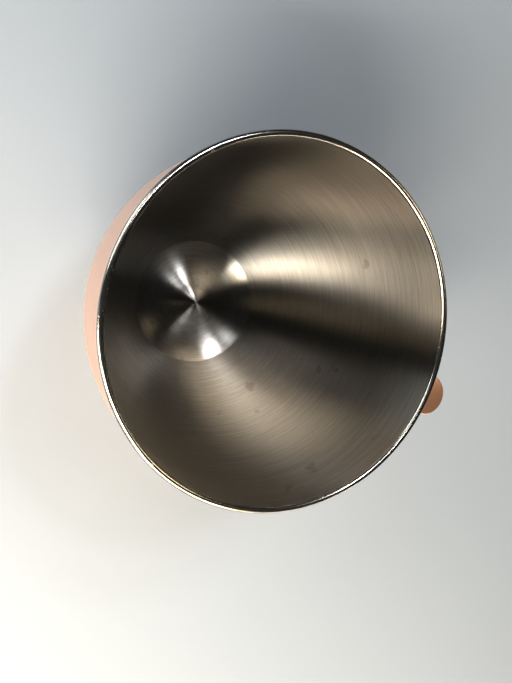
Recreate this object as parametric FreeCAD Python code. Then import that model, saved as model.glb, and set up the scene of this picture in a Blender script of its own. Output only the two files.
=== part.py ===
"""Stand-mixer bowl: a steel liner with a rolled rim in a copper jacket, a bayonet foot and a D-loop handle.

Millimetres, +Z up. The origin is on the bowl's axis, in the plane that the foot stands on.
The handle is on +X. Each piece is written to parts/NODE.step.
"""

import FreeCAD, Part
import math
import os

# Driving dimensions of the bowl
rim_height = 190.0
rim_radius = 110.0
foot_height = 10.0
liner_thickness = 0.8
jacket_thickness = 0.6
bond_gap = 0.05
bead_radius = 2.0
bead_curl = 60.0  # how far past level the rolled edge turns back under itself, in degrees
straight_depth = 39.0  # the part of the wall below the rim that is a plain cylinder
cone_angle = 42.0  # the lower wall's angle from the axis, in degrees
corner_radius_at_floor = 43.6  # where the lower wall would meet a flat floor
corner_fillet = 4.0
jacket_tuck = 0.2  # how far the jacket's top edge reaches up inside the rolled rim
dish_low_radius = 30.0  # the ring on which the floor is lowest
dish_arc = 36.0  # the hollow curve from the dome out to the lower wall
dome_height = 7.5

# Driving dimensions of the foot
foot_sheet = 1.2
foot_radius = 52.0
foot_bend = 2.6
foot_flange_inner = 28.0
foot_tread_inner = 46.0
lug_count = 4
lug_angle = 22.0
lug_reach = 2.0
lug_bottom = 2.8
lug_height = 3.2
lug_chamfer = 0.8

# Driving dimensions of the handle
handle_drop = 30.0  # from the rim down to the thumb rest
handle_reach = 131.6  # from the bowl's axis to the centre of the thumb rest's round end
handle_half_width = 13.8
handle_sheet = 1.2
handle_leg = 2.0  # the grip's straight sides behind its round front
thumb_thickness = 1.5
thumb_edge = 0.9
arm_depth = 14.0
arm_fillet = 10.0
grip_straight = 28.5
grip_radius = 150.0
grip_turn = 18.0
heel_radius = 24.0
heel_turn = 50.0
strip_play = 0.05
pad_thickness = 1.5
pad_half_width = 17.0
pad_margin = 3.2
pad_corner = 5.0
lower_pad_height = 31.0
clearance = 0.05

# Worked out from the driving dimensions
wall_inner = rim_radius - 2 * bead_radius
liner_outer = liner_thickness
jacket_inner = liner_outer + bond_gap
jacket_outer = jacket_inner + jacket_thickness
floor_z = foot_height + jacket_outer
bead_centre_z = rim_height - bead_radius
straight_z = rim_height - straight_depth
cone = math.radians(cone_angle)
cone_top_z = floor_z + (wall_inner - corner_radius_at_floor) / math.tan(cone)
wall_arc = (straight_z - cone_top_z) / math.tan(cone / 2)
dome_radius = (dish_low_radius**2 + dome_height**2) / (2 * dome_height) - dish_arc
dome_centre = (0.0, floor_z + dome_height - dome_radius)
dish_centre = (dish_low_radius, floor_z + dish_arc)
thumb_z = rim_height - handle_drop
shell_top_z = thumb_z - thumb_thickness - clearance
arm_under_z = thumb_z - arm_depth
inside_body = 55.0  # an x well inside the bowl, where the untrimmed handle pieces start


def point(r, z, y=0.0):
    """A point of an outline in the XZ plane."""
    return FreeCAD.Vector(r, y, z)


def on_circle(centre, radius, angle):
    """The point of a circle in the XZ plane at an angle from +X, in radians."""
    return point(centre[0] + radius * math.cos(angle), centre[1] + radius * math.sin(angle))


def line(start, end):
    """A straight edge."""
    return Part.LineSegment(start, end).toShape()


def arc(centre, radius, start, end):
    """A round edge in the XZ plane from one angle to another, in radians."""
    middle = (start + end) / 2
    return Part.Arc(
        on_circle(centre, radius, start), on_circle(centre, radius, middle), on_circle(centre, radius, end)
    ).toShape()


def polyline(points, closed=False):
    """Straight edges through the points."""
    ring = points + points[:1] if closed else points
    return [line(a, b) for a, b in zip(ring, ring[1:])]


def face_of(edges):
    """The flat face inside a closed run of edges."""
    return Part.Face(Part.Wire(Part.__sortEdges__(edges)))


def turned(face, degrees=360.0):
    """The solid that a face sweeps about the bowl's axis."""
    return face.revolve(FreeCAD.Vector(0, 0, 0), FreeCAD.Vector(0, 0, 1), degrees)


def corner_circle():
    """The centre of the small fillet that touches both the dish and the lower wall."""
    across = corner_radius_at_floor - corner_fillet * math.cos(cone) - dish_centre[0]
    up = floor_z + corner_fillet * math.sin(cone) - dish_centre[1]
    along = across * math.sin(cone) + up * math.cos(cone)
    reach = dish_arc - corner_fillet
    run = -along - math.sqrt(along**2 - across**2 - up**2 + reach**2)
    return dish_centre[0] + across + run * math.sin(cone), dish_centre[1] + up + run * math.cos(cone)


def wall_outline(offset, top_z):
    """The bowl's wall from the axis to top_z, moved outwards by offset from its inside face."""
    lean = -cone  # the direction square to the lower wall, as an angle from +X
    tangent = math.atan2(dish_centre[1] - dome_centre[1], dish_centre[0])
    corner_centre = corner_circle()
    meet = math.atan2(corner_centre[1] - dish_centre[1], corner_centre[0] - dish_centre[0])
    sweep = (wall_inner - wall_arc, straight_z)
    edges = [
        arc(dome_centre, dome_radius - offset, math.pi / 2, tangent),
        arc(dish_centre, dish_arc + offset, tangent - math.pi, meet),
        arc(corner_centre, corner_fillet + offset, meet, lean),
        line(
            on_circle(corner_centre, corner_fillet + offset, lean),
            on_circle(sweep, wall_arc + offset, lean),
        ),
        arc(sweep, wall_arc + offset, lean, 0.0),
        line(point(wall_inner + offset, straight_z), point(wall_inner + offset, top_z)),
    ]
    return edges


def apex(offset):
    """The top of the floor's dome, moved outwards by offset."""
    return point(0.0, floor_z + dome_height - offset)


def layer(inner, outer, top_z):
    """A shell of revolution between two offsets of the wall, with a square top edge."""
    edges = wall_outline(inner, top_z) + wall_outline(outer, top_z)
    edges.append(line(point(wall_inner + inner, top_z), point(wall_inner + outer, top_z)))
    edges.append(line(apex(inner), apex(outer)))
    return turned(face_of(edges))


def steel_liner():
    """The inner bowl, whose top edge is rolled outwards and under into a hollow bead."""
    centre = (wall_inner + bead_radius, bead_centre_z)
    tip = -math.radians(bead_curl)
    hollow = bead_radius - liner_thickness
    edges = wall_outline(0.0, bead_centre_z) + wall_outline(liner_outer, bead_centre_z)
    edges.append(arc(centre, bead_radius, math.pi, tip))
    edges.append(arc(centre, hollow, math.pi, tip))
    edges.append(line(on_circle(centre, bead_radius, tip), on_circle(centre, hollow, tip)))
    edges.append(line(apex(0.0), apex(liner_outer)))
    return turned(face_of(edges))


def copper_jacket():
    """The outer skin, whose top edge is caught inside the liner's rolled rim."""
    return layer(jacket_inner, jacket_outer, bead_centre_z + jacket_tuck)


def foot_ring():
    """The pressed foot: a flange under the floor, a skirt with four bayonet lugs, and a turned-in tread."""
    inner_bend = foot_bend - foot_sheet
    skirt = foot_radius - foot_bend
    top = foot_height - clearance
    upper = (skirt, top - foot_bend)
    lower = (skirt, foot_bend)
    quarter = math.pi / 2
    edges = [
        line(point(foot_flange_inner, top), point(skirt, top)),
        arc(upper, foot_bend, quarter, 0.0),
        line(point(foot_radius, upper[1]), point(foot_radius, lower[1])),
        arc(lower, foot_bend, 0.0, -quarter),
        line(point(skirt, 0.0), point(foot_tread_inner, 0.0)),
        line(point(foot_tread_inner, 0.0), point(foot_tread_inner, foot_sheet)),
        line(point(foot_tread_inner, foot_sheet), point(skirt, foot_sheet)),
        arc(lower, inner_bend, -quarter, 0.0),
        line(point(foot_radius - foot_sheet, lower[1]), point(foot_radius - foot_sheet, upper[1])),
        arc(upper, inner_bend, 0.0, quarter),
        line(point(skirt, top - foot_sheet), point(foot_flange_inner, top - foot_sheet)),
        line(point(foot_flange_inner, top - foot_sheet), point(foot_flange_inner, top)),
    ]
    ring = turned(face_of(edges))
    root = foot_radius - foot_sheet / 2
    reach = foot_radius + lug_reach
    lug_top = lug_bottom + lug_height
    section = face_of(
        polyline(
            [
                point(root, lug_bottom),
                point(reach - lug_chamfer, lug_bottom),
                point(reach, lug_bottom + lug_chamfer),
                point(reach, lug_top - lug_chamfer),
                point(reach - lug_chamfer, lug_top),
                point(root, lug_top),
            ],
            closed=True,
        )
    )
    for index in range(lug_count):
        lug = turned(section, lug_angle)
        middle = 360.0 / lug_count * (index + 0.5)
        lug.rotate(FreeCAD.Vector(0, 0, 0), FreeCAD.Vector(0, 0, 1), middle - lug_angle / 2)
        ring = ring.fuse(lug)
    return ring.removeSplitter()


def grip_line(offset, top_z):
    """The grip's line from top_z down to the body, moved away from the fingers by offset."""
    x = handle_reach + offset
    bend_z = thumb_z - grip_straight
    first = math.radians(grip_turn)
    last = math.radians(grip_turn + heel_turn)
    grip_centre = (handle_reach - grip_radius, bend_z)
    heel_start = on_circle(grip_centre, grip_radius - heel_radius, -first)
    heel_centre = (heel_start.x, heel_start.z)
    end = on_circle(heel_centre, heel_radius + offset, -last)
    run = (end.x - inside_body) / math.sin(last)
    return [
        line(point(x, top_z), point(x, bend_z)),
        arc(grip_centre, grip_radius + offset, 0.0, -first),
        arc(heel_centre, heel_radius + offset, -first, -last),
        line(end, point(inside_body, end.z - run * math.cos(last))),
    ]


def grip_sweep(half_width, leg, top_z):
    """A half-round bar, with straight legs on the finger side, swept down the grip's line."""
    back = handle_reach - leg
    start = point(handle_reach, top_z, -half_width)
    end = point(handle_reach, top_z, half_width)
    front = Part.Arc(start, point(handle_reach + half_width, top_z), end).toShape()
    legs = polyline([end, point(back, top_z, half_width), point(back, top_z, -half_width), start])
    section = Part.Wire([front] + legs)
    return Part.Wire(grip_line(0.0, top_z)).makePipeShell([section], True, False)


def slab(outline, half_width):
    """A flat outline in the XZ plane made into a slab of the given half width in Y."""
    face = face_of(outline)
    face.translate(FreeCAD.Vector(0, -half_width, 0))
    return face.extrude(FreeCAD.Vector(0, 2 * half_width, 0))


def arm_outline():
    """The side view of the handle's arm, from inside the body to the middle of the thumb rest."""
    back = handle_reach - handle_leg
    low = arm_under_z - arm_fillet - handle_leg
    corner = (back - arm_fillet, arm_under_z - arm_fillet)
    return [
        line(point(inside_body, shell_top_z), point(handle_reach, shell_top_z)),
        line(point(handle_reach, shell_top_z), point(handle_reach, low)),
        line(point(handle_reach, low), point(back, low)),
        line(point(back, low), point(back, corner[1])),
        arc(corner, arm_fillet, 0.0, math.pi / 2),
        line(point(corner[0], arm_under_z), point(inside_body, arm_under_z)),
        line(point(inside_body, arm_under_z), point(inside_body, shell_top_z)),
    ]


def arm_cavity_outline():
    """The side view of the space inside the arm, open above and towards the fingers."""
    roof = thumb_z
    inset = handle_reach - handle_leg - arm_fillet
    low = arm_under_z - 2 * arm_fillet
    return polyline(
        [
            point(inside_body - 1, roof),
            point(handle_reach, roof),
            point(handle_reach, low),
            point(inset, low),
            point(inset, arm_under_z - arm_fillet),
            point(inset - arm_fillet, arm_under_z - handle_leg),
            point(inside_body - 1, arm_under_z - handle_leg),
        ],
        closed=True,
    )


def body_envelope(offset):
    """The solid space that the bowl fills, out to an offset of its wall."""
    edges = wall_outline(offset, rim_height)
    edges.append(line(point(wall_inner + offset, rim_height), point(0.0, rim_height)))
    edges.append(line(point(0.0, rim_height), apex(offset)))
    solid = turned(face_of(edges))
    plug = Part.makeCylinder(dish_low_radius, floor_z + dome_height, FreeCAD.Vector(0, 0, 0))
    return solid.fuse(plug)


def handle_shell(body):
    """The pressed outer half of the handle: the arm's two sides and the half-round grip in one piece."""
    inner = handle_half_width - handle_sheet
    solid = grip_sweep(handle_half_width, handle_leg, shell_top_z)
    solid = solid.fuse(slab(arm_outline(), handle_half_width)).removeSplitter()
    hollow = grip_sweep(inner, 2 * handle_leg, thumb_z).fuse(slab(arm_cavity_outline(), inner))
    return solid.cut(hollow).cut(body)


def thumb_rest(body):
    """The flat plate on top of the handle's arm, with a half-round end and a softened upper edge."""
    low = thumb_z - thumb_thickness
    corner = point(inside_body, low, -handle_half_width)
    arm = Part.makeBox(handle_reach - inside_body, 2 * handle_half_width, thumb_thickness, corner)
    end = Part.makeCylinder(handle_half_width, thumb_thickness, point(handle_reach, low))
    plate = arm.fuse(end).removeSplitter()
    upper = [e for e in plate.Edges if e.BoundBox.ZMin > low + thumb_edge]
    outer = [e for e in upper if e.BoundBox.XMax > inside_body + thumb_edge]
    return plate.makeFillet(thumb_edge, outer).cut(body)


def finger_strip(body):
    """The bent strip that closes the handle's hollow back, set in flush between the shell's sides."""
    half_width = handle_half_width - handle_sheet - strip_play

    def side(offset):
        level = arm_under_z + handle_leg + offset
        radius = arm_fillet + handle_leg + offset
        corner = (handle_reach - handle_leg - arm_fillet, arm_under_z - arm_fillet)
        run = [
            line(point(inside_body, level), point(corner[0], level)),
            arc(corner, radius, math.pi / 2, 0.0),
        ]
        return run + grip_line(offset, corner[1])

    outer = side(-handle_leg)
    inner = side(handle_sheet - handle_leg)
    ends = [
        line(outer[0].Vertexes[0].Point, inner[0].Vertexes[0].Point),
        line(outer[-1].Vertexes[-1].Point, inner[-1].Vertexes[-1].Point),
    ]
    return slab(outer + inner + ends, half_width).cut(body)


def pad_prism(low, high):
    """A long block along +X whose end view is a rectangle with round corners."""
    half = pad_half_width
    corners = [point(0, low, -half), point(0, low, half), point(0, high, half), point(0, high, -half)]
    block = face_of(polyline(corners, closed=True)).extrude(FreeCAD.Vector(2 * rim_radius, 0, 0))
    along = [e for e in block.Edges if e.BoundBox.XLength > rim_radius]
    return block.makeFillet(pad_corner, along)


def pad(low, high):
    """A curved plate welded flat to the jacket between two heights, which carries one end of the handle."""
    start = jacket_outer + clearance
    plate = layer(start, start + pad_thickness, bead_centre_z - 2 * bead_radius)
    return plate.common(pad_prism(low, high))


def landing_z():
    """The height at which the middle of the handle's lower end reaches the body."""
    tail = grip_line(handle_half_width / 2, thumb_z)[-1]
    start, end = tail.Vertexes[0].Point, tail.Vertexes[1].Point
    lean = math.tan(cone)
    wall = corner_radius_at_floor + (start.z - floor_z) * lean + jacket_outer / math.cos(cone)
    share = (wall - start.x) / (end.x - start.x - (end.z - start.z) * lean)
    return start.z + (end.z - start.z) * share


def write(name, shape):
    """Checks one piece and writes it."""
    solids = shape.Solids
    shape = solids[0] if len(solids) == 1 else Part.makeCompound(solids)
    if not solids or not all(s.isValid() and s.isClosed() for s in solids):
        raise ValueError(name + " is not a closed valid solid")
    shape.exportStep(os.path.join("parts", name + ".step"))
    box = shape.BoundBox
    sizes = "%.1f x %.1f x %.1f mm" % (box.XLength, box.YLength, box.ZLength)
    print("%-18s %d solid(s), %s, %.1f cm3" % (name, len(solids), sizes, shape.Volume / 1000))


def main():
    """Makes every piece."""
    os.makedirs("parts", exist_ok=True)
    body = body_envelope(jacket_outer + clearance + pad_thickness + clearance)
    middle = landing_z()
    write("steel_liner", steel_liner())
    write("copper_jacket", copper_jacket())
    write("foot_ring", foot_ring())
    write("handle_shell", handle_shell(body))
    write("handle_thumb_rest", thumb_rest(body))
    write("handle_finger_strip", finger_strip(body))
    write("handle_upper_pad", pad(arm_under_z - pad_margin, thumb_z + pad_margin))
    write("handle_lower_pad", pad(middle - lower_pad_height / 2, middle + lower_pad_height / 2))


main()
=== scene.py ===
"""A stand mixer's bowl: steel inside, copper outside, with a rolled rim, a foot and a D-loop handle."""

import logging
import math
from dataclasses import dataclass, field
from enum import Enum
from typing import Any, Callable, Optional, Sequence, Union

import bpy
from mathutils import Matrix, Vector


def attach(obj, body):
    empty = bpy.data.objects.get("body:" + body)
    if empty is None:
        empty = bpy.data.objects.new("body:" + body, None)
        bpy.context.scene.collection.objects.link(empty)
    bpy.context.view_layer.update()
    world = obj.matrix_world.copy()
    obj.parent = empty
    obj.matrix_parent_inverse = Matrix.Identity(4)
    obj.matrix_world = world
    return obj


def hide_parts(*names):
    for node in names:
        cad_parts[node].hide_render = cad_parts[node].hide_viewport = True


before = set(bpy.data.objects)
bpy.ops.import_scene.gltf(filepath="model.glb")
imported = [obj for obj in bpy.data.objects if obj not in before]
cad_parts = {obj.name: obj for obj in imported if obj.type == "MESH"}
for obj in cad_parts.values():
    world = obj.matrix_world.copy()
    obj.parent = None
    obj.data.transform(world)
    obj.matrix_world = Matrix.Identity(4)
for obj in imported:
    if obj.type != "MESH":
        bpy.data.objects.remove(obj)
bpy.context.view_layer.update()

MM = 0.001
TURN = 2.0 * math.pi
CREASE = math.radians(40.0)
SOFTENED = math.radians(50.0)
FLUSH = 0.01 * MM
Point = tuple[float, float]
Colour = tuple[float, float, float]

logging.basicConfig(level=logging.INFO, format="%(name)s: %(message)s")
LOG = logging.getLogger("bowl")


class Slot(Enum):
    """The record's finishes."""

    BRUSHED_STEEL = "brushed_steel"
    POLISHED_COPPER = "polished_copper"
    SATIN_COPPER = "satin_copper"


# ---------------------------------------------------------------------------
# Shader maths
# ---------------------------------------------------------------------------


class Wire:
    """One output socket of a shader tree, with Python's arithmetic on it."""

    def __init__(self, tree: "Tree", socket: Any) -> None:
        """Keeps the socket and the tree that it belongs to.

        Args:
            tree: the tree that new nodes are added to.
            socket: the output socket.
        """
        self.tree = tree
        self.socket = socket

    def _math(self, operation: str, *values: Any, clamp: bool = False) -> "Wire":
        """Adds one Math node.

        Args:
            operation: the node's operation.
            values: its inputs, in order.
            clamp: whether the result is held between 0 and 1.

        Returns:
            The node's result.
        """
        settings = {"operation": operation, "use_clamp": clamp}
        return self.tree.node("ShaderNodeMath", settings, dict(enumerate(values)))["Value"]

    def __add__(self, other: Any) -> "Wire":
        """The sum."""
        return self._math("ADD", self, other)

    __radd__ = __add__

    def __sub__(self, other: Any) -> "Wire":
        """The difference."""
        return self._math("SUBTRACT", self, other)

    def __rsub__(self, other: Any) -> "Wire":
        """The difference, the other way round."""
        return self._math("SUBTRACT", other, self)

    def __mul__(self, other: Any) -> "Wire":
        """The product."""
        return self._math("MULTIPLY", self, other)

    __rmul__ = __mul__

    def __truediv__(self, other: Any) -> "Wire":
        """The quotient."""
        return self._math("DIVIDE", self, other)

    def max(self, other: Any) -> "Wire":
        """The larger of the two."""
        return self._math("MAXIMUM", self, other)

    def root(self) -> "Wire":
        """The square root."""
        return self._math("SQRT", self)

    def clamped(self) -> "Wire":
        """The value held between 0 and 1."""
        return self._math("ADD", self, 0.0, clamp=True)

    def ramp(self, start: float, end: float) -> "Wire":
        """A smooth step from 0 at start to 1 at end; start may be the larger."""
        settings = {"interpolation_type": "SMOOTHSTEP"}
        values = {"Value": self, "From Min": start, "From Max": end, "To Min": 0.0, "To Max": 1.0}
        return self.tree.node("ShaderNodeMapRange", settings, values)["Result"]


class Outputs:
    """The outputs of one node, by name."""

    def __init__(self, tree: "Tree", node: Any) -> None:
        """Keeps the node.

        Args:
            tree: the node's tree.
            node: the shader node.
        """
        self.tree = tree
        self.made = node

    def __getitem__(self, name: str) -> Wire:
        """The output that has this name and is switched on."""
        live = [s for s in self.made.outputs if s.name == name and s.enabled]
        return Wire(self.tree, live[0])


class Tree:
    """The node tree of one material or of the world."""

    def __init__(self, owner: Any) -> None:
        """Empties the owner's tree.

        Args:
            owner: a material or a world.
        """
        owner.use_nodes = True
        self.nodes = owner.node_tree.nodes
        self.links = owner.node_tree.links
        self.nodes.clear()

    def node(self, kind: str, settings: Optional[dict] = None, values: Optional[dict] = None) -> Outputs:
        """Adds one node.

        Args:
            kind: the node's type.
            settings: its properties, set first.
            values: numbers, colours or wires for its inputs, by name or by index.

        Returns:
            The node's outputs.
        """
        made = self.nodes.new(kind)
        for name, value in (settings or {}).items():
            setattr(made, name, value)
        for name, value in (values or {}).items():
            socket = self._input(made, name)
            if isinstance(value, Wire):
                self.links.new(value.socket, socket)
            else:
                socket.default_value = value
        return Outputs(self, made)

    @staticmethod
    def _input(made: Any, name: Union[str, int]) -> Any:
        """The input with this index, or with this name that is switched on."""
        if isinstance(name, int):
            return made.inputs[name]
        return [s for s in made.inputs if s.name == name and s.enabled][0]

    def place(self) -> tuple[Wire, Wire, Wire]:
        """The shaded point's X, Y and Z in metres, in the bowl's frame."""
        point = self.node("ShaderNodeTexCoord")["Object"]
        parts = self.node("ShaderNodeSeparateXYZ", values={"Vector": point})
        return parts["X"], parts["Y"], parts["Z"]

    def vector(self, x: Any, y: Any, z: Any) -> Wire:
        """A vector of three values."""
        return self.node("ShaderNodeCombineXYZ", values={"X": x, "Y": y, "Z": z})["Vector"]

    def noise(self, vector: Wire, scale: float, detail: float = 2.0, roughness: float = 0.5) -> Wire:
        """Smooth noise between 0 and 1.

        Args:
            vector: where it is read.
            scale: its fineness.
            detail: how many finer octaves it has.
            roughness: how strong the finer octaves are.

        Returns:
            The noise value.
        """
        values = {"Vector": vector, "Scale": scale, "Detail": detail, "Roughness": roughness}
        return self.node("ShaderNodeTexNoise", values=values)["Fac"]

    def blend(self, factor: Any, first: Any, second: Any) -> Wire:
        """A mix of two colours.

        Args:
            factor: the share of the second colour.
            first: a colour or a wire.
            second: a colour or a wire.

        Returns:
            The mixed colour.
        """
        values = {
            "Factor": factor,
            "A": first if isinstance(first, Wire) else (*first, 1.0),
            "B": second if isinstance(second, Wire) else (*second, 1.0),
        }
        return self.node("ShaderNodeMix", {"data_type": "RGBA"}, values)["Result"]

    def bump(self, height: Wire, strength: float, distance: float, below: Optional[Wire] = None) -> Wire:
        """A bumped normal.

        Args:
            height: the height, where 1 stands for the distance.
            strength: the share of the full effect.
            distance: the height of 1, in metres.
            below: a normal that this one is added to.

        Returns:
            The normal.
        """
        values: dict[Any, Any] = {"Height": height, "Strength": strength, "Distance": distance}
        if below is not None:
            values["Normal"] = below
        return self.node("ShaderNodeBump", values=values)["Normal"]

    def surface(self, values: dict[str, Any]) -> None:
        """Ends the tree in a Principled surface with these inputs."""
        made = self.node("ShaderNodeBsdfPrincipled", values=values)["BSDF"]
        self.node("ShaderNodeOutputMaterial", values={"Surface": made})


# ---------------------------------------------------------------------------
# Finishes
# ---------------------------------------------------------------------------


@dataclass(frozen=True)
class Finish:
    """What every finish has: a name, and a way to make its material once."""

    name: str

    def material(self) -> bpy.types.Material:
        """The finish's material, made on first use."""
        known = bpy.data.materials.get(self.name)
        if known is not None:
            return known
        made = bpy.data.materials.new(self.name)
        self.fill(Tree(made))
        return made

    def fill(self, tree: Tree) -> None:
        """Builds the nodes; each finish has its own."""
        raise NotImplementedError

    @staticmethod
    def lathe_lines(tree: Tree) -> tuple[Wire, Wire, Wire, Wire]:
        """Coordinates of a pattern that runs round the bowl's axis.

        Args:
            tree: the tree to add to.

        Returns:
            The cosine and sine of the angle about the axis, the radius, and the height plus the radius.
        """
        x, y, z = tree.place()
        radius = (x * x + y * y).root().max(0.0004)
        return x / radius, y / radius, radius, radius + z


@dataclass(frozen=True)
class BrushedSteel(Finish):
    """Stainless steel with the fine rings that an abrasive pad leaves on a turning bowl."""

    name: str = "lathe_brushed_steel"
    dark: Colour = (0.27, 0.26, 0.25)
    light: Colour = (0.38, 0.372, 0.358)
    stain: Colour = (0.16, 0.14, 0.11)
    roughness: float = 0.285
    stretch: float = 1.0

    def fill(self, tree: Tree) -> None:
        """Rings in colour, roughness and height, with a few dull patches from handling."""
        cosine, sine, radius, along = self.lathe_lines(tree)
        coarse = tree.noise(tree.vector(cosine * 2.0, sine * 2.0, along * 700.0), 1.0, 3.0, 0.6)
        fine = tree.noise(tree.vector(cosine * 5.0, sine * 5.0, along * 2600.0), 1.0, 3.0, 0.7)
        rings = coarse * 0.45 + fine * 0.55
        x, y, z = tree.place()
        patches = tree.noise(tree.vector(x, y, z), 14.0, 3.0, 0.55).ramp(0.52, 0.78)
        colour = tree.blend(rings.ramp(0.30, 0.70), self.dark, self.light)
        stains = tree.noise(tree.vector(x, y, z), 60.0, 2.0, 0.5).ramp(0.70, 0.76)
        colour = tree.blend(stains * 0.4, colour, self.stain)
        height = tree.bump(fine, 0.15, 0.00001)
        height = tree.bump(coarse, 0.15, 0.00003, height)
        tree.surface(
            {
                "Base Color": colour,
                "Metallic": 1.0,
                "Roughness": self.roughness - 0.03 + rings * 0.06 + patches * 0.02,
                "Anisotropic": self.stretch,
                "Anisotropic Rotation": 0.25,
                "Normal": height,
            }
        )


@dataclass(frozen=True)
class PolishedSteel(Finish):
    """The buffed steel of the rolled rim."""

    name: str = "buffed_steel"
    dark: Colour = (0.32, 0.315, 0.31)
    light: Colour = (0.43, 0.425, 0.42)
    roughness: float = 0.20

    def fill(self, tree: Tree) -> None:
        """Faint buffing marks along the rim, with small knocks."""
        cosine, sine, radius, along = self.lathe_lines(tree)
        marks = tree.noise(tree.vector(cosine * 9.0, sine * 9.0, along * 1500.0), 1.0, 3.0, 0.6)
        x, y, z = tree.place()
        knocks = tree.noise(tree.vector(x, y, z), 320.0, 2.0, 0.5).ramp(0.66, 0.74)
        colour = tree.blend(marks.ramp(0.3, 0.7), self.dark, self.light)
        normal = tree.bump(marks, 0.2, 0.00002)
        tree.surface(
            {
                "Base Color": tree.blend(knocks * 0.25, colour, (0.45, 0.44, 0.42)),
                "Metallic": 1.0,
                "Roughness": self.roughness - 0.03 + marks * 0.08 + knocks * 0.15,
                "Anisotropic": 0.4,
                "Anisotropic Rotation": 0.25,
                "Normal": tree.bump(knocks, 0.3, 0.00003, normal),
            }
        )


@dataclass(frozen=True)
class PolishedCopper(Finish):
    """Mirror-polished copper with hairline scratches and a light haze from handling."""

    name: str = "polished_copper"
    fresh: Colour = (0.54, 0.36, 0.275)
    toned: Colour = (0.43, 0.27, 0.20)
    roughness: float = 0.09

    def fill(self, tree: Tree) -> None:
        """Warm tone drift, darker towards the bottom, haze in patches and fine scratches."""
        x, y, z = tree.place()
        point = tree.vector(x, y, z)
        drift = tree.noise(point, 9.0, 3.0, 0.5).ramp(0.35, 0.75)
        haze = tree.noise(point, 38.0, 4.0, 0.6).ramp(0.50, 0.80)
        cosine, sine, radius, along = self.lathe_lines(tree)
        hairs = tree.noise(tree.vector(cosine * 7.0, sine * 7.0, along * 1900.0), 1.0, 3.0, 0.7)
        scratches = hairs.ramp(0.62, 0.70)
        # low makes the copper darker towards the bottom, over its lowest 30 mm.
        low = 1.0 - z.ramp(0.0, 0.03)
        colour = tree.blend((drift * 0.5 + low * 0.25).clamped(), self.fresh, self.toned)
        tree.surface(
            {
                "Base Color": tree.blend(haze * 0.18, colour, (0.40, 0.275, 0.215)),
                "Metallic": 1.0,
                "Roughness": self.roughness + haze * 0.06 + scratches * 0.05 + hairs * 0.02,
                "Normal": tree.bump(hairs, 0.10, 0.00001),
            }
        )


@dataclass(frozen=True)
class SatinCopper(Finish):
    """Satin copper, brushed along one way, with brighter worn edges; its colours carry painted shade and are
    far darker than copper's own.
    """

    name: str = "satin_copper"
    # fresh, dull and worn are set far below copper's own colour: painted shade that makes the satin handle
    # parts look darker than the polished copper.
    fresh: Colour = (0.19, 0.115, 0.09)
    dull: Colour = (0.135, 0.077, 0.06)
    worn: Colour = (0.34, 0.225, 0.18)
    roughness: float = 0.34
    grain: tuple[float, float, float] = (1800.0, 60.0, 60.0)

    def fill(self, tree: Tree) -> None:
        """Grain in colour, roughness and height; dull patches; bright wear where the surface turns."""
        x, y, z = tree.place()
        along, across, up = self.grain
        grain = tree.noise(tree.vector(x * along, y * across, z * up), 1.0, 3.0, 0.65)
        point = tree.vector(x, y, z)
        patches = tree.noise(point, 45.0, 4.0, 0.6).ramp(0.40, 0.75)
        turned = tree.node("ShaderNodeNewGeometry")["Pointiness"]
        wear = turned.ramp(0.515, 0.56) * tree.noise(point, 240.0, 3.0, 0.6).ramp(0.35, 0.6)
        colour = tree.blend((patches * 0.6 + grain * 0.4 - 0.1).clamped(), self.fresh, self.dull)
        tree.surface(
            {
                "Base Color": tree.blend(wear * 0.6, colour, self.worn),
                "Metallic": 1.0,
                "Roughness": self.roughness - 0.05 + grain * 0.12 + patches * 0.06 - wear * 0.08,
                "Anisotropic": 0.35,
                "Normal": tree.bump(grain, 0.25, 0.00003),
            }
        )


@dataclass(frozen=True)
class PaleFloor(Finish):
    """A plain matt table."""

    name: str = "pale_floor"
    colour: Colour = (0.235, 0.275, 0.335)

    def fill(self, tree: Tree) -> None:
        """Nearly flat colour with a faint drift."""
        x, y, z = tree.place()
        drift = tree.noise(tree.vector(x, y, z), 2.0, 2.0, 0.5)
        darker = tuple(c * 0.94 for c in self.colour)
        tree.surface({"Base Color": tree.blend(drift, self.colour, darker), "Roughness": 0.6})


# ---------------------------------------------------------------------------
# Modelling by operators
# ---------------------------------------------------------------------------


class Outline:
    """A cross-section in the XZ plane, drawn as straight runs and arcs and kept as points."""

    def __init__(self, start: Point) -> None:
        """Starts the outline at a point (radius, height)."""
        self.points: list[Point] = [start]

    def line(self, end: Point, step: float = 1.0) -> "Outline":
        """Adds a straight run.

        Args:
            end: the run's last point.
            step: the longest stretch between two points; 1.0 gives none between.

        Returns:
            The outline itself.
        """
        start = self.points[-1]
        count = max(1, math.ceil(math.dist(start, end) / step))
        for index in range(1, count + 1):
            share = index / count
            out = start[0] + (end[0] - start[0]) * share
            up = start[1] + (end[1] - start[1]) * share
            self.points.append((out, up))
        return self

    def arc(self, centre: Point, radius: float, start: float, end: float, step: float) -> "Outline":
        """Adds an arc.

        Args:
            centre: its centre.
            radius: its radius.
            start: its first angle from +X, in radians.
            end: its last angle.
            step: the largest angle between two points.

        Returns:
            The outline itself.
        """
        count = max(1, math.ceil(abs(end - start) / step))
        for index in range(count + 1):
            angle = start + (end - start) * index / count
            point = (centre[0] + radius * math.cos(angle), centre[1] + radius * math.sin(angle))
            if math.dist(point, self.points[-1]) > 1e-7:
                self.points.append(point)
        return self


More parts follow.
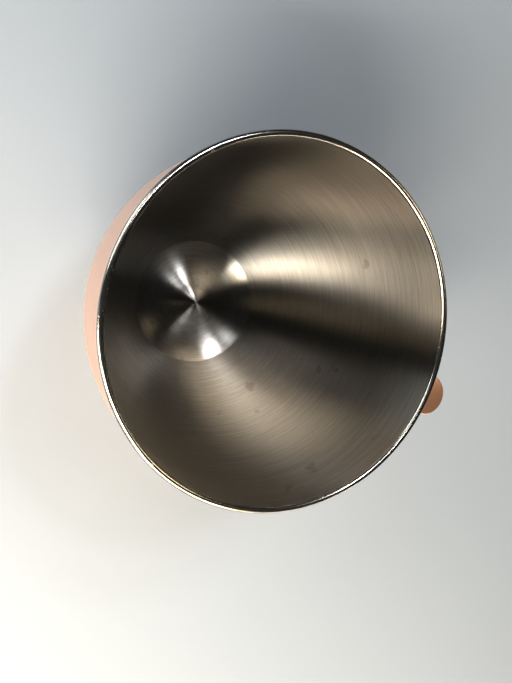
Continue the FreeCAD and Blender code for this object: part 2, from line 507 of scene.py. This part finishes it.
class Bench:
    """Blender's modelling operators, as used for every piece."""

    @staticmethod
    def clear() -> None:
        """Leaves edit mode and deselects everything."""
        if bpy.context.object is not None and bpy.context.object.mode != "OBJECT":
            bpy.ops.object.mode_set(mode="OBJECT")
        bpy.ops.object.select_all(action="DESELECT")

    @staticmethod
    def named(name: str) -> bpy.types.Object:
        """The object just added, renamed."""
        made = bpy.context.object
        made.name = name
        made.data.name = name
        return made

    @staticmethod
    def edit(piece: bpy.types.Object) -> None:
        """Opens a piece in edit mode with nothing selected."""
        Bench.clear()
        bpy.context.view_layer.objects.active = piece
        piece.select_set(True)
        bpy.ops.object.mode_set(mode="EDIT")
        bpy.ops.mesh.select_all(action="DESELECT")

    @staticmethod
    def done() -> None:
        """Leaves edit mode."""
        bpy.ops.object.mode_set(mode="OBJECT")

    @staticmethod
    def pick(piece: bpy.types.Object, kind: str, test: Callable[[Any], bool]) -> int:
        """Selects elements in code, from edit mode.

        Args:
            piece: the piece being edited.
            kind: "VERT", "EDGE" or "FACE".
            test: given a vertex, an edge or a face of the mesh, says whether to select it.

        Returns:
            How many were selected.
        """
        bpy.ops.mesh.select_mode(type=kind)
        bpy.ops.mesh.select_all(action="DESELECT")
        bpy.ops.object.mode_set(mode="OBJECT")
        mesh = piece.data
        elements = {"VERT": mesh.vertices, "EDGE": mesh.edges, "FACE": mesh.polygons}[kind]
        count = 0
        for element in elements:
            if test(element):
                element.select = True
                count += 1
        bpy.ops.object.mode_set(mode="EDIT")
        return count

    @staticmethod
    def middle(piece: bpy.types.Object, element: Any) -> Vector:
        """The middle of a mesh element."""
        vertices = piece.data.vertices
        indices = getattr(element, "vertices", None)
        if indices is None:
            return element.co
        return sum((vertices[i].co for i in indices), Vector()) / len(indices)

    @staticmethod
    def spun(name: str, outline: Sequence[Point], steps: int, closed: bool = True) -> bpy.types.Object:
        """A solid of revolution: a plane merged to one point, extruded along the outline and spun.

        Args:
            name: the piece's name.
            outline: its cross-section's points (radius, height).
            steps: how many flats there are round the axis.
            closed: whether the last point is joined to the first.

        Returns:
            The piece.
        """
        Bench.clear()
        first = outline[0]
        bpy.ops.mesh.primitive_plane_add(size=MM, location=(first[0], 0.0, first[1]))
        piece = Bench.named(name)
        Bench.settle(piece)
        Bench.edit(piece)
        bpy.ops.mesh.select_all(action="SELECT")
        bpy.ops.mesh.merge(type="CENTER")
        run = list(outline) + ([first] if closed else [])
        for before, after in zip(run, run[1:]):
            move = (after[0] - before[0], 0.0, after[1] - before[1])
            bpy.ops.mesh.extrude_region_move(TRANSFORM_OT_translate={"value": move})
        bpy.ops.mesh.select_all(action="SELECT")
        bpy.ops.mesh.spin(steps=steps, angle=TURN, center=(0, 0, 0), axis=(0, 0, 1))
        bpy.ops.mesh.select_all(action="SELECT")
        bpy.ops.mesh.remove_doubles(threshold=0.000004)
        bpy.ops.mesh.select_all(action="SELECT")
        bpy.ops.mesh.normals_make_consistent(inside=False)
        Bench.done()
        return piece

    @staticmethod
    def settle(piece: bpy.types.Object) -> None:
        """Puts the piece's place, turn and scale into its mesh."""
        Bench.clear()
        piece.select_set(True)
        bpy.context.view_layer.objects.active = piece
        bpy.ops.object.transform_apply(location=True, rotation=True, scale=True)

    @staticmethod
    def modify(piece: bpy.types.Object, kind: str, **settings: Any) -> None:
        """Adds one modifier and applies it.

        Args:
            piece: the piece.
            kind: the modifier's type.
            settings: its properties.
        """
        Bench.clear()
        piece.select_set(True)
        bpy.context.view_layer.objects.active = piece
        modifier = piece.modifiers.new(kind.lower(), kind)
        for name, value in settings.items():
            setattr(modifier, name, value)
        bpy.ops.object.modifier_apply(modifier=modifier.name)

    @staticmethod
    def soften(piece: bpy.types.Object, width: float, segments: int = 3) -> None:
        """Rounds the piece's sharp edges."""
        Bench.modify(
            piece, "BEVEL", width=width, segments=segments, limit_method="ANGLE", angle_limit=SOFTENED
        )

    @staticmethod
    def dress(piece: bpy.types.Object, *finishes: Finish) -> None:
        """Shades the piece smooth up to the crease angle and gives it its materials.

        Args:
            piece: the piece.
            finishes: its finishes, in the order of its material numbers.
        """
        Bench.clear()
        piece.select_set(True)
        bpy.context.view_layer.objects.active = piece
        bpy.ops.object.shade_smooth_by_angle(angle=CREASE)
        piece.data.materials.clear()
        for finish in finishes:
            piece.data.materials.append(finish.material())


@dataclass
class Assembly:
    """What every sub-assembly has: a list of the pieces it made."""

    made: list[bpy.types.Object] = field(default_factory=list, init=False)

    def hand_over(self, piece: bpy.types.Object, slot: Slot, *nodes: str) -> bpy.types.Object:
        """Rides a finished piece on the bowl and hides the CAD nodes it stands for.

        Args:
            piece: the piece.
            slot: the record's finish; not used.
            nodes: the CAD nodes.

        Returns:
            The piece.
        """
        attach(piece, "root")
        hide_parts(*nodes)
        self.made.append(piece)
        LOG.info("%s: %d faces", piece.name, len(piece.data.polygons))
        return piece


# ---------------------------------------------------------------------------
# The bowl
# ---------------------------------------------------------------------------


@dataclass
class Bowl(Assembly):
    """The two skins of the bowl and the rolled rim."""

    rim_height: float = 190.0 * MM
    rim_radius: float = 110.0 * MM
    bead: float = 2.0 * MM
    bead_curl: float = math.radians(60.0)
    liner: float = 0.8 * MM
    gap: float = 0.05 * MM
    jacket: float = 0.6 * MM
    foot_height: float = 10.0 * MM
    straight: float = 39.0 * MM
    cone: float = math.radians(42.0)
    corner: float = 43.6 * MM
    corner_fillet: float = 4.0 * MM
    dome: float = 7.5 * MM
    dish_low: float = 30.0 * MM
    dish_arc: float = 36.0 * MM
    tuck: float = 0.2 * MM
    buffed: float = 0.9 * MM
    flats: int = 256

    @property
    def wall(self) -> float:
        """The inside radius of the straight wall."""
        return self.rim_radius - 2.0 * self.bead

    @property
    def floor(self) -> float:
        """The height of the inside floor."""
        return self.foot_height + self.liner + self.gap + self.jacket

    @property
    def bead_height(self) -> float:
        """The height of the middle of the rolled rim."""
        return self.rim_height - self.bead

    @property
    def skin(self) -> float:
        """How far the jacket's outside is from the bowl's inside."""
        return self.liner + self.gap + self.jacket

    def cone_top(self) -> float:
        """The height where the lower and upper walls would meet if the bend were sharp."""
        return self.floor + (self.wall - self.corner) / math.tan(self.cone)

    def corner_circle(self) -> Point:
        """The centre of the small fillet that touches both the floor's hollow curve and the lower wall."""
        sine, cosine = math.sin(self.cone), math.cos(self.cone)
        across = self.corner - self.corner_fillet * cosine - self.dish_low
        up = self.corner_fillet * sine - self.dish_arc
        along = across * sine + up * cosine
        reach = self.dish_arc - self.corner_fillet
        run = -along - math.sqrt(along**2 - across**2 - up**2 + reach**2)
        return self.dish_low + across + run * sine, self.floor + self.dish_arc + up + run * cosine

    def side(self, offset: float, top: float, fine: float) -> Outline:
        """The wall's section from the axis outwards and up.

        Args:
            offset: how far outside the bowl's inside surface it runs.
            top: the height at which it ends.
            fine: the largest turn between two points, in radians.

        Returns:
            The outline.
        """
        bend = (self.rim_height - self.straight - self.cone_top()) / math.tan(self.cone / 2.0)
        sweep = (self.wall - bend, self.rim_height - self.straight)
        dome_arc = (self.dish_low**2 + self.dome**2) / (2.0 * self.dome) - self.dish_arc
        crown = (0.0, self.floor + self.dome - dome_arc)
        dish = (self.dish_low, self.floor + self.dish_arc)
        tangent = math.atan2(dish[1] - crown[1], dish[0])
        corner = self.corner_circle()
        meet = math.atan2(corner[1] - dish[1], corner[0] - dish[0])
        step = fine * 60.0 * MM
        shape = Outline((0.0, self.floor + self.dome - offset))
        shape.arc(crown, dome_arc - offset, math.pi / 2.0, tangent, fine)
        shape.arc(dish, self.dish_arc + offset, tangent - math.pi, meet, fine)
        shape.arc(corner, self.corner_fillet + offset, meet, -self.cone, fine * 2.0)
        lean = (math.cos(self.cone), -math.sin(self.cone))
        shape.line((sweep[0] + (bend + offset) * lean[0], sweep[1] + (bend + offset) * lean[1]), step)
        shape.arc(sweep, bend + offset, -self.cone, 0.0, fine / 2.0)
        return shape.line((self.wall + offset, top), step)

    def steel_liner(self) -> bpy.types.Object:
        """The inner bowl with its rim rolled outwards and under."""
        fine = math.radians(2.2)
        centre = (self.wall + self.bead, self.bead_height)
        shape = self.side(0.0, self.bead_height, fine)
        shape.arc(centre, self.bead, math.pi, -self.bead_curl, math.radians(7.5))
        shape.arc(centre, self.bead - self.liner, -self.bead_curl, math.pi, math.radians(15.0))
        back = self.side(self.liner, self.bead_height, math.radians(8.0))
        shape.points += list(reversed(back.points))[1:]
        piece = Bench.spun("steel_liner_spun", shape.points, self.flats)
        LOG.info("section of %d points", len(shape.points))
        Bench.dress(piece, BrushedSteel(), PolishedSteel())
        limit = self.bead_height - self.buffed
        for face in piece.data.polygons:
            face.material_index = 1 if face.center.z > limit else 0
        return self.hand_over(piece, Slot.BRUSHED_STEEL, "steel_liner")

    def copper_jacket(self) -> bpy.types.Object:
        """The outer skin, with its top edge inside the rolled rim."""
        top = self.bead_height + self.tuck
        shape = self.side(self.skin, top, math.radians(2.2))
        back = self.side(self.liner + self.gap, top, math.radians(8.0))
        shape.points += list(reversed(back.points))
        piece = Bench.spun("copper_jacket_spun", shape.points, self.flats)
        Bench.dress(piece, PolishedCopper())
        return self.hand_over(piece, Slot.POLISHED_COPPER, "copper_jacket")

    def build(self) -> None:
        """Makes both skins."""
        self.steel_liner()
        self.copper_jacket()


@dataclass
class Foot(Assembly):
    """The pressed foot ring with its bayonet lugs."""

    sheet: float = 1.2 * MM
    radius: float = 52.0 * MM
    bend: float = 2.6 * MM
    height: float = 9.95 * MM
    flange: float = 28.0 * MM
    tread: float = 46.0 * MM
    lugs: int = 4
    lug_angle: float = math.radians(22.0)
    lug_reach: float = 2.0 * MM
    lug_low: float = 2.8 * MM
    lug_high: float = 6.0 * MM
    edge: float = 0.35 * MM
    flats: int = 360

    def section(self) -> Outline:
        """The ring's closed cross-section."""
        quarter = math.pi / 2.0
        fine = math.radians(11.25)
        inner = self.bend - self.sheet
        upper = (self.radius - self.bend, self.height - self.bend)
        lower = (self.radius - self.bend, self.bend)
        shape = Outline((self.flange, self.height))
        shape.line((upper[0], self.height), 4.0 * MM)
        shape.arc(upper, self.bend, quarter, 0.0, fine)
        shape.line((self.radius, self.lug_high)).line((self.radius, self.lug_low))
        shape.arc(lower, self.bend, 0.0, -quarter, fine)
        shape.line((self.tread, 0.0)).line((self.tread, self.sheet)).line((lower[0], self.sheet))
        shape.arc(lower, inner, -quarter, 0.0, fine)
        shape.arc(upper, inner, 0.0, quarter, fine)
        return shape.line((self.flange, self.height - self.sheet), 4.0 * MM)

    def build(self) -> None:
        """Spins the ring, pulls the lugs out of its skirt and rounds them."""
        piece = Bench.spun("foot_ring_pressed", self.section().points, self.flats)
        half = self.lug_angle / 2.0
        pitch = TURN / self.lugs

        def in_lug(face: Any) -> bool:
            """Whether a face of the skirt lies on a lug."""
            spot = face.center
            off = (math.atan2(spot.y, spot.x) % pitch) - pitch / 2.0
            level = self.lug_low < spot.z < self.lug_high
            return level and math.hypot(spot.x, spot.y) > self.radius - 0.1 * MM and abs(off) < half

        Bench.edit(piece)
        Bench.pick(piece, "FACE", in_lug)
        bpy.ops.mesh.extrude_region_shrink_fatten(TRANSFORM_OT_shrink_fatten={"value": self.lug_reach})
        Bench.done()
        Bench.soften(piece, self.edge)
        Bench.dress(piece, PolishedCopper())
        self.hand_over(piece, Slot.POLISHED_COPPER, "foot_ring")


@dataclass
class Handle(Assembly):
    """The hollow D-loop handle, its thumb rest, its closing strip and the pads that carry it."""

    drop: float = 30.0 * MM
    reach: float = 131.6 * MM
    half: float = 13.8 * MM
    leg: float = 2.0 * MM
    plate: float = 1.5 * MM
    plate_edge: float = 0.9 * MM
    plate_under_edge: float = 0.2 * MM
    seam: float = 0.05 * MM
    arm: float = 14.0 * MM
    fillet: float = 10.0 * MM
    straight: float = 28.5 * MM
    grip_radius: float = 150.0 * MM
    grip_turn: float = math.radians(18.0)
    heel_radius: float = 24.0 * MM
    heel_turn: float = math.radians(50.0)
    tail: float = 64.0 * MM
    root: float = 107.7 * MM
    sheet: float = 1.2 * MM
    recess: float = 1.4 * MM
    play: float = 0.1 * MM
    shell_edge: float = 0.28 * MM
    strip_edge: float = 0.25 * MM
    pad: float = 1.5 * MM
    pad_half: float = 17.0 * MM
    pad_margin: float = 3.2 * MM
    pad_corner: float = 5.0 * MM
    pad_edge: float = 0.45 * MM
    pad_cuts: int = 24
    lower_pad: float = 31.0 * MM
    bowl: Bowl = field(default_factory=Bowl)

    @property
    def top(self) -> float:
        """The height of the thumb rest."""
        return self.bowl.rim_height - self.drop

    @property
    def under(self) -> float:
        """The height of the arm's underside."""
        return self.top - self.arm

    @property
    def landing(self) -> float:
        """The height at which the middle of the handle's lower end reaches the bowl."""
        last = self.grip_turn + self.heel_turn
        inner = self.grip_radius - self.heel_radius
        outer = self.heel_radius + self.half / 2.0
        heel_x = self.reach - self.grip_radius + inner * math.cos(self.grip_turn)
        heel_z = self.top - self.straight - inner * math.sin(self.grip_turn)
        x, z = heel_x + outer * math.cos(last), heel_z - outer * math.sin(last)
        bowl = self.bowl
        lean = math.tan(bowl.cone)
        wall = bowl.corner + (z - bowl.floor) * lean + bowl.skin / math.cos(bowl.cone)
        run = (x - wall) / (math.sin(last) - math.cos(last) * lean)
        return z - run * math.cos(last)

    def bar(self) -> bpy.types.Object:
        """The grip and arm as one solid bar, before it is hollowed for the strip."""
        top = self.top - self.plate - self.seam
        Bench.clear()
        middle = (self.reach, 0.0, (top + self.under) / 2.0)
        bpy.ops.mesh.primitive_cylinder_add(
            vertices=64, radius=self.half, depth=top - self.under, location=middle
        )
        piece = Bench.named("handle_shell_pressed")
        Bench.settle(piece)
        Bench.edit(piece)
        bpy.ops.mesh.select_all(action="SELECT")
        bpy.ops.mesh.bisect(plane_co=(self.reach, 0, 0), plane_no=(1, 0, 0), use_fill=True, clear_inner=True)
        self._pull(piece, (-1, 0, 0), (-self.leg, 0.0, 0.0))
        self._pull(piece, (-1, 0, 0), (self.root - self.reach + self.leg, 0.0, 0.0))
        self._grip(piece)
        Bench.pick(piece, "FACE", lambda f: abs(f.normal.y) > 0.999)
        bpy.ops.mesh.dissolve_faces(use_verts=False)
        corner = Vector((self.reach - self.leg, 0.0, self.under))
        Bench.pick(piece, "EDGE", lambda e: (Bench.middle(piece, e) - corner).length < 0.1 * MM)
        bpy.ops.mesh.bevel(offset=self.fillet, segments=12, affect="EDGES")
        Bench.done()
        return piece

    @staticmethod
    def _pull(piece: bpy.types.Object, facing: tuple[int, int, int], move: Sequence[float]) -> None:
        """Extrudes the faces that look one way."""
        want = Vector(facing)
        Bench.pick(piece, "FACE", lambda f: f.normal.dot(want) > 0.999)
        bpy.ops.mesh.extrude_region_move(TRANSFORM_OT_translate={"value": move})

    def _grip(self, piece: bpy.types.Object) -> None:
        """Runs the grip's end face down, round its long bend and its heel, and on into the lower pad."""
        back = self.reach - self.leg
        down = Vector((0, 0, -1))
        Bench.pick(piece, "FACE", lambda f: f.normal.dot(down) > 0.999 and f.center.x > back)
        bend = self.top - self.straight
        bpy.ops.mesh.extrude_region_move(TRANSFORM_OT_translate={"value": (0.0, 0.0, bend - self.under)})
        centre = Vector((self.reach - self.grip_radius, 0.0, bend))
        bpy.ops.mesh.spin(steps=10, angle=self.grip_turn, center=centre, axis=(0, -1, 0))
        first, last = self.grip_turn, self.grip_turn + self.heel_turn
        inner = self.grip_radius - self.heel_radius
        heel = centre + Vector((math.cos(first), 0.0, -math.sin(first))) * inner
        bpy.ops.mesh.spin(steps=16, angle=self.heel_turn, center=heel, axis=(0, -1, 0))
        run = Vector((-math.sin(last), 0.0, -math.cos(last))) * self.tail
        bpy.ops.mesh.extrude_region_move(TRANSFORM_OT_translate={"value": run})
        bowl = self.bowl
        sunk = bowl.skin + 0.2 * MM
        lean = Vector((math.cos(bowl.cone), 0.0, -math.sin(bowl.cone)))
        wall = Vector((bowl.corner, 0.0, bowl.floor)) + lean * sunk
        Bench.pick(piece, "FACE", lambda f: f.center.x < self.root - 5.0 * MM)
        bpy.ops.mesh.bisect(plane_co=wall, plane_no=lean, use_fill=True, clear_inner=True)

    def finger_faces(self, piece: bpy.types.Object) -> Callable[[Any], bool]:
        """The test for the finger side: flat across, and facing the bowl or below the arm."""
        bend = self.top - self.straight
        centre = Vector((self.reach - self.grip_radius, 0.0, bend))
        edge = self.half - 0.2 * MM

        def test(face: Any) -> bool:
            if abs(face.normal.y) > 0.001 or abs(face.center.y) > 0.1 * MM:
                return False
            span = max(abs(piece.data.vertices[i].co.y) for i in face.vertices)
            spot = face.center
            end = spot.x < self.root + FLUSH or spot.z > self.under + self.fillet + 0.1 * MM
            inward = face.normal.x < -0.2 or (face.normal.z < -0.5 and spot.z > bend)
            return span > edge and not end and inward

        return test

    def shell_and_strip(self) -> None:
        """Hollows the bar's back for the strip, and lifts the strip out of it."""
        shell = self.bar()
        Bench.edit(shell)
        count = Bench.pick(shell, "FACE", self.finger_faces(shell))
        LOG.info("finger side: %d faces", count)
        bpy.ops.mesh.inset(thickness=self.sheet, depth=0.0)
        bpy.ops.mesh.duplicate()
        bpy.ops.mesh.separate(type="SELECTED")
        Bench.done()
        strip = [o for o in bpy.context.selected_objects if o is not shell][0]
        strip.name = strip.data.name = "handle_finger_strip_bent"
        Bench.edit(shell)
        Bench.pick(shell, "FACE", self.inset_faces(shell))
        bpy.ops.mesh.extrude_region_shrink_fatten(TRANSFORM_OT_shrink_fatten={"value": -self.recess})
        Bench.done()
        Bench.soften(shell, self.shell_edge)
        Bench.dress(shell, SatinCopper())
        self.hand_over(shell, Slot.SATIN_COPPER, "handle_shell")
        self.strip(strip)

    def inset_faces(self, piece: bpy.types.Object) -> Callable[[Any], bool]:
        """The test for the finger-side faces left inside the inset."""
        edge = self.half - self.sheet + 0.05 * MM
        bend = self.top - self.straight

        def test(face: Any) -> bool:
            spans = [abs(piece.data.vertices[i].co.y) for i in face.vertices]
            inward = face.normal.x < -0.2 or (face.normal.z < -0.5 and face.center.z > bend)
            level = face.center.z < self.under + self.fillet + 0.1 * MM
            inset = max(spans) < edge and min(spans) > edge - 0.5 * MM
            return abs(face.normal.y) < 0.001 and inset and inward and level

        return test

    def strip(self, strip: bpy.types.Object) -> None:
        """Trims the strip to its play, gives it its thickness and softens its edges."""
        Bench.edit(strip)
        bpy.ops.mesh.select_all(action="SELECT")
        bpy.ops.mesh.inset(thickness=self.play, depth=0.0)
        bpy.ops.mesh.select_all(action="INVERT")
        bpy.ops.mesh.delete(type="FACE")
        Bench.done()
        Bench.modify(strip, "SOLIDIFY", thickness=self.sheet, offset=-1.0, use_even_offset=True)
        Bench.soften(strip, self.strip_edge)
        Bench.dress(strip, SatinCopper())
        self.hand_over(strip, Slot.SATIN_COPPER, "handle_finger_strip")

    def thumb_rest(self) -> None:
        """The flat plate with its half-round end and softened upper edge."""
        Bench.clear()
        low = self.top - self.plate
        middle = (self.reach, 0.0, (low + self.top) / 2.0)
        bpy.ops.mesh.primitive_cylinder_add(
            vertices=128, radius=self.half, depth=self.plate, location=middle
        )
        piece = Bench.named("handle_thumb_rest_plate")
        Bench.settle(piece)
        Bench.edit(piece)
        bpy.ops.mesh.select_all(action="SELECT")
        bpy.ops.mesh.bisect(plane_co=(self.reach, 0, 0), plane_no=(1, 0, 0), use_fill=True, clear_inner=True)
        self._pull(piece, (-1, 0, 0), (self.root - self.reach, 0.0, 0.0))
        for height, width in ((self.top, self.plate_edge), (low, self.plate_under_edge)):
            Bench.pick(piece, "EDGE", self._plate_rim(piece, height))
            bpy.ops.mesh.bevel(offset=width, segments=5, affect="EDGES")
        Bench.done()
        Bench.dress(piece, SatinCopper())
        self.hand_over(piece, Slot.SATIN_COPPER, "handle_thumb_rest")

    def _plate_rim(self, piece: bpy.types.Object, height: float) -> Callable[[Any], bool]:
        """The test for the plate's outer edges at one height."""
        vertices = piece.data.vertices

        def test(edge: Any) -> bool:
            ends = [vertices[i].co for i in edge.vertices]
            level = all(abs(e.z - height) < FLUSH for e in ends)
            inside = all(e.x < self.root + FLUSH for e in ends)
            across = all(abs(e.x - self.reach) < FLUSH for e in ends)
            return level and not inside and not across

        return test

    def make_pad(self, name: str, low: float, high: float, jacket: bpy.types.Object) -> bpy.types.Object:
        """A plate with round corners, laid on the jacket.

        Args:
            name: the piece's name.
            low: its lower edge's height.
            high: its upper edge's height.
            jacket: the surface that it is pressed onto.

        Returns:
            The piece.
        """
        Bench.clear()
        out = 1.15 * self.bowl.rim_radius
        middle = (out, 0.0, (low + high) / 2.0)
        bpy.ops.mesh.primitive_plane_add(size=1.0, location=middle, rotation=(0, math.pi / 2, 0))
        piece = Bench.named(name)
        piece.scale = (high - low, 2.0 * self.pad_half, 1.0)
        Bench.settle(piece)
        Bench.edit(piece)
        bpy.ops.mesh.select_all(action="SELECT")
        bpy.ops.mesh.bevel(offset=self.pad_corner, segments=10, affect="VERTICES")
        for index in range(1, self.pad_cuts):
            share = index / self.pad_cuts
            bpy.ops.mesh.select_all(action="SELECT")
            across = self.pad_half * (2.0 * share - 1.0)
            bpy.ops.mesh.bisect(plane_co=(out, across, 0.0), plane_no=(0, 1, 0))
            bpy.ops.mesh.select_all(action="SELECT")
            bpy.ops.mesh.bisect(plane_co=(out, 0.0, low + (high - low) * share), plane_no=(0, 0, 1))
        Bench.done()
        Bench.modify(
            piece,
            "SHRINKWRAP",
            target=jacket,
            wrap_method="PROJECT",
            use_project_x=True,
            use_negative_direction=True,
            use_positive_direction=False,
        )
        Bench.modify(piece, "SOLIDIFY", thickness=self.pad, offset=1.0, use_even_offset=True)
        Bench.soften(piece, self.pad_edge, 4)
        Bench.dress(piece, PolishedCopper())
        return piece

    def build(self, jacket: bpy.types.Object) -> None:
        """Makes the handle and its pads."""
        self.shell_and_strip()
        self.thumb_rest()
        upper = (self.under - self.pad_margin, self.top + self.pad_margin)
        lower = (self.landing - self.lower_pad / 2.0, self.landing + self.lower_pad / 2.0)
        for name, node, (low, high) in (
            ("handle_upper_pad_curved", "handle_upper_pad", upper),
            ("handle_lower_pad_curved", "handle_lower_pad", lower),
        ):
            self.hand_over(self.make_pad(name, low, high, jacket), Slot.POLISHED_COPPER, node)


# ---------------------------------------------------------------------------
# Camera, floor and lights
# ---------------------------------------------------------------------------


@dataclass(frozen=True)
class Softbox:
    """One soft strip light between two directions, aimed at the bowl and unseen by the camera.

    A direction is an azimuth from +X and an elevation, in degrees; glow is the brightness seen straight on.
    """

    name: str
    start: tuple[float, float]
    end: tuple[float, float]
    breadth: float
    glow: float
    colour: Colour = (1.0, 1.0, 1.0)
    distance: float = 1.6
    target: tuple[float, float, float] = (0.0, 0.0, 0.12)

    @staticmethod
    def direction(angles: tuple[float, float]) -> Vector:
        """The unit vector of an azimuth and an elevation."""
        azimuth, elevation = (math.radians(a) for a in angles)
        level = math.cos(elevation)
        return Vector((level * math.cos(azimuth), level * math.sin(azimuth), math.sin(elevation)))

    def build(self) -> None:
        """Adds the light, with its long side from the start to the end."""
        first, last = (self.direction(a) * self.distance for a in (self.start, self.end))
        middle = (first + last) / 2.0
        out = middle.normalized()
        along = (last - first).normalized()
        length = (last - first).length
        data = bpy.data.lights.new(self.name, "AREA")
        data.shape = "RECTANGLE"
        data.size = length
        data.size_y = self.breadth
        data.energy = self.glow * math.pi * length * self.breadth
        data.color = self.colour
        light = bpy.data.objects.new(self.name, data)
        bpy.context.scene.collection.objects.link(light)
        turn = Matrix((along, out.cross(along), out)).transposed().to_4x4()
        light.matrix_world = Matrix.Translation(Vector(self.target) + middle) @ turn
        light.visible_camera = False


@dataclass
class Studio:
    """The floor, the lights and the camera; a contrast under 1 deepens the darks."""

    lens: float = 36.9
    eye: tuple[float, float, float] = (-0.1811, -0.0264, 0.5451)
    right: tuple[float, float, float] = (0.8310, 0.3905, 0.3958)
    back: tuple[float, float, float] = (-0.4185, -0.0293, 0.9077)
    floor_size: float = 6.0
    contrast: float = 0.78
    boxes: tuple[Softbox, ...] = (
        Softbox("ceiling", (93.0, 54.0), (103.0, 58.0), 0.20, 38.0),
        Softbox("ceiling_high", (92.0, 65.0), (104.0, 67.0), 0.17, 78.0),
        Softbox("high_left", (112.0, 71.0), (136.0, 72.0), 0.18, 20.0),
        Softbox("front_low", (211.0, 8.0), (232.0, 33.0), 0.26, 28.0, (1.0, 0.88, 0.70)),
        Softbox("front_high", (232.0, 33.0), (258.0, 51.0), 0.28, 56.0, (1.0, 0.88, 0.70)),
        Softbox("front_top", (259.0, 52.0), (276.0, 53.0), 0.26, 36.0, (1.0, 0.93, 0.78)),
        Softbox("side_left", (259.0, 19.0), (288.0, 35.0), 0.28, 36.0, (1.0, 0.80, 0.60)),
        Softbox("side_right", (288.0, 30.0), (308.0, 38.0), 0.40, 16.0, (1.0, 0.82, 0.58)),
        Softbox("low_right", (285.0, 10.0), (336.0, 5.0), 0.28, 7.0, (1.0, 0.88, 0.70)),
        Softbox("low_left", (152.0, 8.0), (184.0, 9.0), 0.36, 9.0, (0.94, 1.0, 0.94)),
        Softbox("left", (140.0, 42.0), (175.0, 38.0), 0.40, 5.0, (1.0, 0.90, 0.75)),
        Softbox("right", (24.0, 48.0), (42.0, 42.0), 0.28, 9.0, (1.0, 0.84, 0.56)),
    )

    def camera(self) -> None:
        """Looks down into the mouth, with the handle's side to the right."""
        data = bpy.data.cameras.new("camera")
        data.lens = self.lens
        data.sensor_width = 36.0
        data.clip_start = 0.01
        camera = bpy.data.objects.new("camera", data)
        bpy.context.scene.collection.objects.link(camera)
        back = Vector(self.back).normalized()
        right = Vector(self.right)
        right = (right - back * right.dot(back)).normalized()
        up = back.cross(right)
        turn = Matrix((right, up, back)).transposed().to_4x4()
        camera.matrix_world = Matrix.Translation(Vector(self.eye)) @ turn
        bpy.context.scene.camera = camera

    def floor(self) -> None:
        """Adds the plain pale floor."""
        Bench.clear()
        bpy.ops.mesh.primitive_plane_add(size=self.floor_size, location=(0.0, 0.0, 0.0))
        floor = Bench.named("floor")
        floor.data.materials.append(PaleFloor().material())

    def lights(self) -> None:
        """Adds the soft lights and a dim even surround."""
        world = bpy.data.worlds.new("surround")
        bpy.context.scene.world = world
        tree = Tree(world)
        glow = tree.node("ShaderNodeBackground", values={"Color": (0.85, 0.87, 0.90, 1.0), "Strength": 0.03})
        tree.node("ShaderNodeOutputWorld", values={"Surface": glow["Background"]})
        for box in self.boxes:
            box.build()

    def build(self) -> None:
        """Sets up everything around the bowl."""
        view = bpy.context.scene.view_settings
        view.view_transform = "Standard"
        view.gamma = self.contrast
        self.camera()
        self.floor()
        self.lights()


def main() -> None:
    """Builds the studio and every sub-assembly, and reports each piece."""
    Studio().build()
    bowl, foot = Bowl(), Foot()
    handle = Handle(bowl=bowl)
    bowl.build()
    foot.build()
    handle.build(bowl.made[-1])
    for assembly in (bowl, foot, handle):
        LOG.info("%s: %d pieces", type(assembly).__name__, len(assembly.made))


if __name__ == "__main__":
    main()
